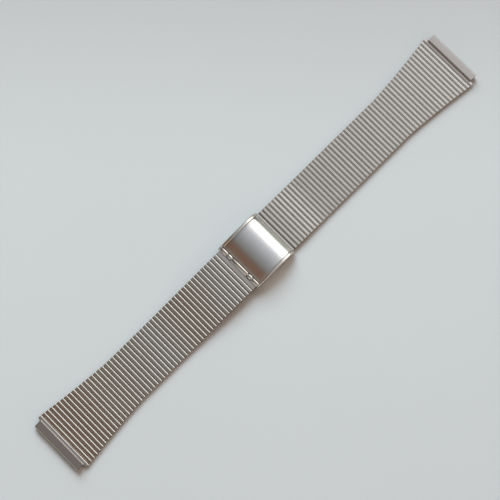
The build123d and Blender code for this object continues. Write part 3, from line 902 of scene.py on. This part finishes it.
class WATCHBAND_OT_cover_plate(bpy.types.Operator):
    """Brushed cover plate with its down-turned lip"""

    bl_idname = "watchband.cover_plate"
    bl_label = "Cover Plate"

    def execute(self, context):
        clasp = context.scene.watchband_clasp
        colours = context.scene.watchband_colours
        shape = CoverShape(clasp)
        material = steel(
            "Plate steel", colours.plate, roughness=0.20, spread=0.10, grain=(1.6, 0.05, 1.6), bump=0.30,
            variation=0.06,
        )
        bm = bmesh.new()
        self.draw_sheet(bm, clasp, shape)
        for vert in extrude_down(bm):
            vert.co.z = -clasp.plate_sheet
        middle = -clasp.plate_sheet / 2
        edges = [edge for edge in square_edges(bm) if max(vert.co.z for vert in edge.verts) > middle]
        round_off(bm, edges, clasp.plate_edge, 3)
        shape.bend(bm)
        finish_piece(bm, "brushed_plate", "cover", material, ("cover_plate",))
        return {"FINISHED"}

    def draw_sheet(self, bm, clasp, shape):
        """The plate's top face before it is bent, with its rounded left end and lip corners."""
        columns = 66
        curved = 6
        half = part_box("cover_plate")[1].y
        round_end = clasp.plate_round
        corner = clasp.lip_corner
        step = (shape.end - shape.left - round_end) / (columns - curved)
        bmesh.ops.create_grid(bm, x_segments=columns, y_segments=8, size=1)
        for vert in bm.verts:
            column = (vert.co.x + 1) / 2 * columns
            turn = min(column / curved, 1) * pi / 2
            place = shape.left + round_end * (1 - cos(turn)) + step * max(column - curved, 0)
            past = max(place - (shape.end - corner), 0)
            reach = half - corner + sqrt(max(corner**2 - past**2, 0))
            vert.co = (place, vert.co.y * reach, round_end * (sin(turn) - 1))


class WATCHBAND_OT_cover_frame(bpy.types.Operator):
    """Cover frame: walls with ears, rims, floor and the two short knuckles"""

    bl_idname = "watchband.cover_frame"
    bl_label = "Cover Frame"

    def execute(self, context):
        clasp = context.scene.watchband_clasp
        colours = context.scene.watchband_colours
        shape = CoverShape(clasp)
        pin = joint_place("cover_hinge")
        low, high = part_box("cover_frame")
        inner = high.y - clasp.wall_sheet
        material = steel(
            "Rim steel", colours.rim, roughness=0.22, spread=0.10, grain=(0.5, 0.5, 0.5), bump=0.08,
            variation=0.05,
        )
        bm = bmesh.new()
        self.add_bent_parts(bm, clasp, shape, inner, high.y)
        for side in MIRROR_SIDES:
            span = sorted((side * inner, side * high.y))
            self.add_wall(bm, clasp, shape, pin, low.z, span)
            add_ring(bm, pin, clasp.barrel_bore, clasp.ear_radius, *span, clasp.ear_round)
            start = side * (clasp.middle_knuckle + clasp.knuckle_gap)
            span = sorted((start, start + side * clasp.short_knuckle))
            self.add_short_knuckle(bm, clasp, shape, pin, span)
        finish_piece(bm, "polished_frame", "cover", material, ("cover_frame",))
        self.add_dimple_shade(clasp, colours, pin)
        return {"FINISHED"}

    def add_bent_parts(self, bm, clasp, shape, inner, outer):
        """The rims, the floor under the plate and the ledge beside the knuckles."""
        rim = (shape.left, shape.end, -clasp.rim_depth, clasp.rim_proud)
        floor = (shape.left, shape.right, -clasp.plate_sheet - clasp.floor_sheet, -clasp.plate_sheet)
        gap = clasp.plate_edge
        ledge = (shape.left - clasp.ledge, shape.left - gap, -clasp.ledge_depth, -gap)
        for side in MIRROR_SIDES:
            span = sorted((side * outer, side * (outer - clasp.rim_width)))
            flat_bar(bm, *span, *rim, steps=44, rounding=clasp.rim_round)
        flat_bar(bm, -inner, inner, *floor, steps=24)
        flat_bar(bm, -inner, inner, *ledge, steps=4)
        shape.bend(bm)

    def add_wall(self, bm, clasp, shape, pin, foot, span):
        """One side wall with its ear round the cover pin."""
        radius = clasp.barrel_radius
        corner = clasp.wall_corner
        left = pin.x + radius * 1.15
        right = shape.point(shape.end, clasp.rim_proud).x
        wall = bmesh.new()
        first = wall.verts.new(shape.point(shape.left, -clasp.rim_round))
        vert = draw_arc(wall, first, shape.centre, shape.right_tilt - shape.left_tilt, steps=24)
        vert = draw_arc(wall, vert, shape.lip_centre, shape.end_tilt - shape.right_tilt, steps=12)
        vert = draw_lines(wall, vert, at(right, vert.co.z - clasp.lip_skirt), at(right, foot + corner))
        vert = draw_arc(wall, vert, at(right - corner, foot + corner), pi / 2, steps=6)
        vert = draw_lines(wall, vert, at(left, foot), polar(radius, pi, pin))
        last = draw_arc(wall, vert, pin, pi, steps=18)
        extrude_outline(wall, first, last, *span)
        round_off(wall, square_edges(wall), clasp.wall_round, 2)
        join_part(bm, wall)

    def add_short_knuckle(self, bm, clasp, shape, pin, span):
        """One short knuckle on the cover pin with the web that carries it."""
        add_knuckle(bm, clasp, pin, clasp.barrel_bore - clasp.knuckle_trim / 2, *span)
        top = shape.point(shape.left, -clasp.plate_sheet - clasp.floor_sheet * 0.6).z
        low = pin.z + clasp.barrel_radius / 4
        right = shape.point(shape.left, -clasp.plate_sheet - clasp.floor_sheet).x + clasp.floor_sheet
        left_top = pin.x + clasp.barrel_radius / 2
        left_low = pin.x + clasp.barrel_radius * 0.9
        first = bm.verts.new(at(left_top, top))
        last = draw_lines(bm, first, at(right, top), at(right, low), at(left_low, low))
        extrude_outline(bm, first, last, *span)

    def add_dimple_shade(self, clasp, colours, pin):
        """Dark disc of painted shade over the dimple in the near short knuckle, bent round with the knuckle.
        """
        # Painted shade: dark steel standing for the shade inside the dimple
        material = steel(
            "Dimple shade", colours.painted_shade, roughness=0.45, spread=0.20, grain=(0.1, 0.1, 0.1), bump=0.3,
            variation=0.2,
        )
        place = -(clasp.middle_knuckle + clasp.knuckle_gap + clasp.short_knuckle / 2)
        radius = clasp.barrel_radius + clasp.dimple_proud
        bm = bmesh.new()
        bmesh.ops.create_circle(bm, cap_ends=True, radius=clasp.dimple, segments=24)
        bmesh.ops.inset_region(bm, faces=bm.faces[:], thickness=clasp.dimple_rim)
        bmesh.ops.translate(bm, verts=extrude_down(bm), vec=(0, 0, -clasp.dimple_depth))
        for vert in bm.verts:
            bent = polar(radius + vert.co.z, vert.co.x / radius, pin)
            bent.y = place + vert.co.y
            vert.co = bent
        finish_piece(bm, "dimple_shade_disc", "cover", material)


class WATCHBAND_OT_hinge_link(bpy.types.Operator):
    """Hinge link between the left strand and the cover, with its three knuckles"""

    bl_idname = "watchband.hinge_link"
    bl_label = "Hinge Link"

    def execute(self, context):
        slats = context.scene.watchband_slats
        clasp = context.scene.watchband_clasp
        colours = context.scene.watchband_colours
        material = steel(
            "Link steel", colours.link, roughness=0.22, spread=0.12, grain=(0.08, 1.2, 0.08), bump=0.2
        )
        half = slats.waist / 2
        top = slats.hook_radius
        under = top - clasp.link_sheet
        strip_end = clasp.link_length - clasp.barrel_radius - clasp.knuckle_gap
        bm = bmesh.new()
        self.add_strip(bm, slats, clasp, top, under, strip_end)
        middle = clasp.middle_knuckle
        outer_start = middle + 2 * clasp.knuckle_gap + clasp.short_knuckle
        outer_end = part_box("hinge_link")[1].y
        centre = at(clasp.link_length, 0)
        left = strip_end - clasp.link_lap
        right = clasp.link_length - clasp.barrel_radius * 0.75
        for low, high in ((-middle, middle), (outer_start, outer_end), (-outer_end, -outer_start)):
            add_knuckle(bm, clasp, centre, clasp.barrel_bore, low, high)
            first = bm.verts.new(at(left, top))
            last = draw_lines(bm, first, at(right, top), at(right, under), at(left, under))
            extrude_outline(bm, first, last, max(low, -half), min(high, half))
        bmesh.ops.translate(bm, verts=bm.verts, vec=joint_place("left_bend_1"))
        finish_piece(bm, "hinge_strip", "hinge_link", material, ("hinge_link",))
        return {"FINISHED"}

    def add_strip(self, bm, slats, clasp, top, under, end):
        """The flat strip with the tongue that the first slat hooks into."""
        face = slats.hook_radius + slats.hook_gap
        first = bm.verts.new(at(face + slats.corner, top))
        vert = draw_lines(bm, first, at(end, top), at(end, under), at(face + clasp.link_sheet, under))
        vert = draw_tongue(bm, vert, slats, 0, clasp.link_sheet)
        last = draw_lines(bm, vert, at(face, top - slats.corner))
        extrude_outline(bm, first, last, -slats.waist / 2, slats.waist / 2)


class WATCHBAND_OT_inner_parts(bpy.types.Operator):
    """Finishes of the leaf, slider, lock plate and pins inside the clasp"""

    bl_idname = "watchband.inner_parts"
    bl_label = "Inner Parts"

    def execute(self, context):
        colours = context.scene.watchband_colours
        sheet = steel(
            "Inner steel", colours.inner, roughness=0.28, spread=0.14, grain=(1.2, 0.06, 1.2), bump=0.2
        )
        wire = steel(
            "Pin wire", colours.rim, roughness=0.24, spread=0.10, grain=(0.06, 1.0, 0.06), bump=0.2
        )
        for node in ("fold_leaf", "slider_body", "lock_plate"):
            self.dress(node, sheet)
        for node in ("cover_pin", "leaf_pin", "fold_pin", "lock_pin"):
            self.dress(node, wire)
        return {"FINISHED"}

    def dress(self, node, material):
        """Gives a CAD node its material."""
        piece = frame["nodes"][node]
        if piece.material_slots:
            for slot in piece.material_slots:
                slot.material = material
        else:
            piece.data.materials.append(material)


class WATCHBAND_PT_panel(bpy.types.Panel):
    """Lists the steps that build the band"""

    bl_idname = "WATCHBAND_PT_panel"
    bl_label = "Watch Band"
    bl_space_type = "VIEW_3D"
    bl_region_type = "UI"
    bl_category = "Watch Band"

    def draw(self, context):
        for step in steps:
            self.layout.operator(step.bl_idname)


steps = (
    WATCHBAND_OT_stage,
    WATCHBAND_OT_slats,
    WATCHBAND_OT_lug_tubes,
    WATCHBAND_OT_cover_plate,
    WATCHBAND_OT_cover_frame,
    WATCHBAND_OT_hinge_link,
    WATCHBAND_OT_inner_parts,
)
classes = (BandSlats, BandClasp, BandColours, BandStage, *steps, WATCHBAND_PT_panel)


def register():
    for item in classes:
        bpy.utils.register_class(item)
    scene = bpy.types.Scene
    scene.watchband_slats = bpy.props.PointerProperty(type=BandSlats)
    scene.watchband_clasp = bpy.props.PointerProperty(type=BandClasp)
    scene.watchband_colours = bpy.props.PointerProperty(type=BandColours)
    scene.watchband_stage = bpy.props.PointerProperty(type=BandStage)


def unregister():
    scene = bpy.types.Scene
    del scene.watchband_stage
    del scene.watchband_colours
    del scene.watchband_clasp
    del scene.watchband_slats
    for item in reversed(classes):
        bpy.utils.unregister_class(item)


def main():
    """Builds the dressed band."""
    register()
    bpy.ops.watchband.stage()
    bpy.ops.watchband.slats()
    bpy.ops.watchband.lug_tubes()
    bpy.ops.watchband.cover_plate()
    bpy.ops.watchband.cover_frame()
    bpy.ops.watchband.hinge_link()
    bpy.ops.watchband.inner_parts()


if __name__ == "__main__":
    main()
